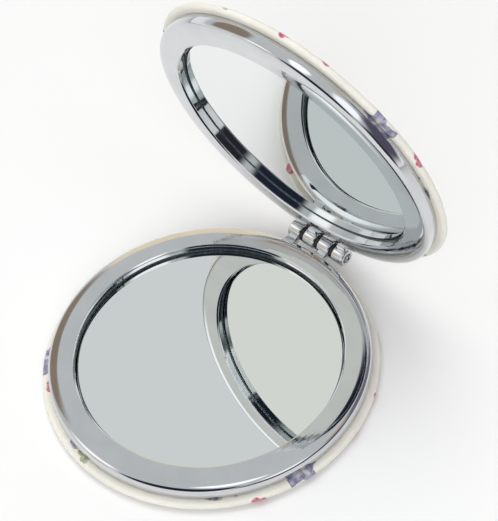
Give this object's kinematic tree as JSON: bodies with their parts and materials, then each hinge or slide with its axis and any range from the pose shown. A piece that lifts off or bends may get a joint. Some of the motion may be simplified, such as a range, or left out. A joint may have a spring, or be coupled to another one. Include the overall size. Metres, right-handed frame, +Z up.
{
  "type": "folding compact mirror",
  "caption": "Round folding pocket compact with a mirror in each half, chromed shells, printed padded covers and a stiff knuckle hinge.",
  "frame": {"origin": "centre of the flat face on the underside of the base that the compact rests on", "axes": "+Z up out of the base mirror, +X along the hinge pin, -Y towards the front edge"},
  "size_m": [0.07, 0.0756, 0.0758],
  "materials": {
    "chromed_zinc": "polished chrome plating on a zinc casting",
    "mirror_glass": "silvered glass, cool grey",
    "adhesive_tape": "double-sided tissue tape",
    "backing_board": "stiff moulded board",
    "foam": "fine closed foam",
    "printed_skin": "soft grained leathercloth, cream with a printed pattern",
    "pin_steel": "drawn steel wire",
    "black_nylon": "smooth black nylon"
  },
  "bodies": {
    "base": {"base_shell": "chromed_zinc", "base_mirror": "mirror_glass", "base_mirror_tape": "adhesive_tape", "base_cover_tape": "adhesive_tape", "base_backing_disc": "backing_board", "base_foam_pad": "foam", "base_cover": "printed_skin", "hinge_pin": "pin_steel", "hinge_washers": "black_nylon"},
    "lid": {"lid_shell": "chromed_zinc", "lid_mirror": "mirror_glass", "lid_mirror_tape": "adhesive_tape", "lid_cover_tape": "adhesive_tape", "lid_backing_disc": "backing_board", "lid_foam_pad": "foam", "lid_cover": "printed_skin"}
  },
  "joints": [
    {"name": "lid_hinge", "type": "hinge", "parent": "base", "child": "lid", "pos_m": [0, 0.0358, 0.0056], "axis": [-1, 0, 0], "range_deg": [-78, 102]}
  ]
}
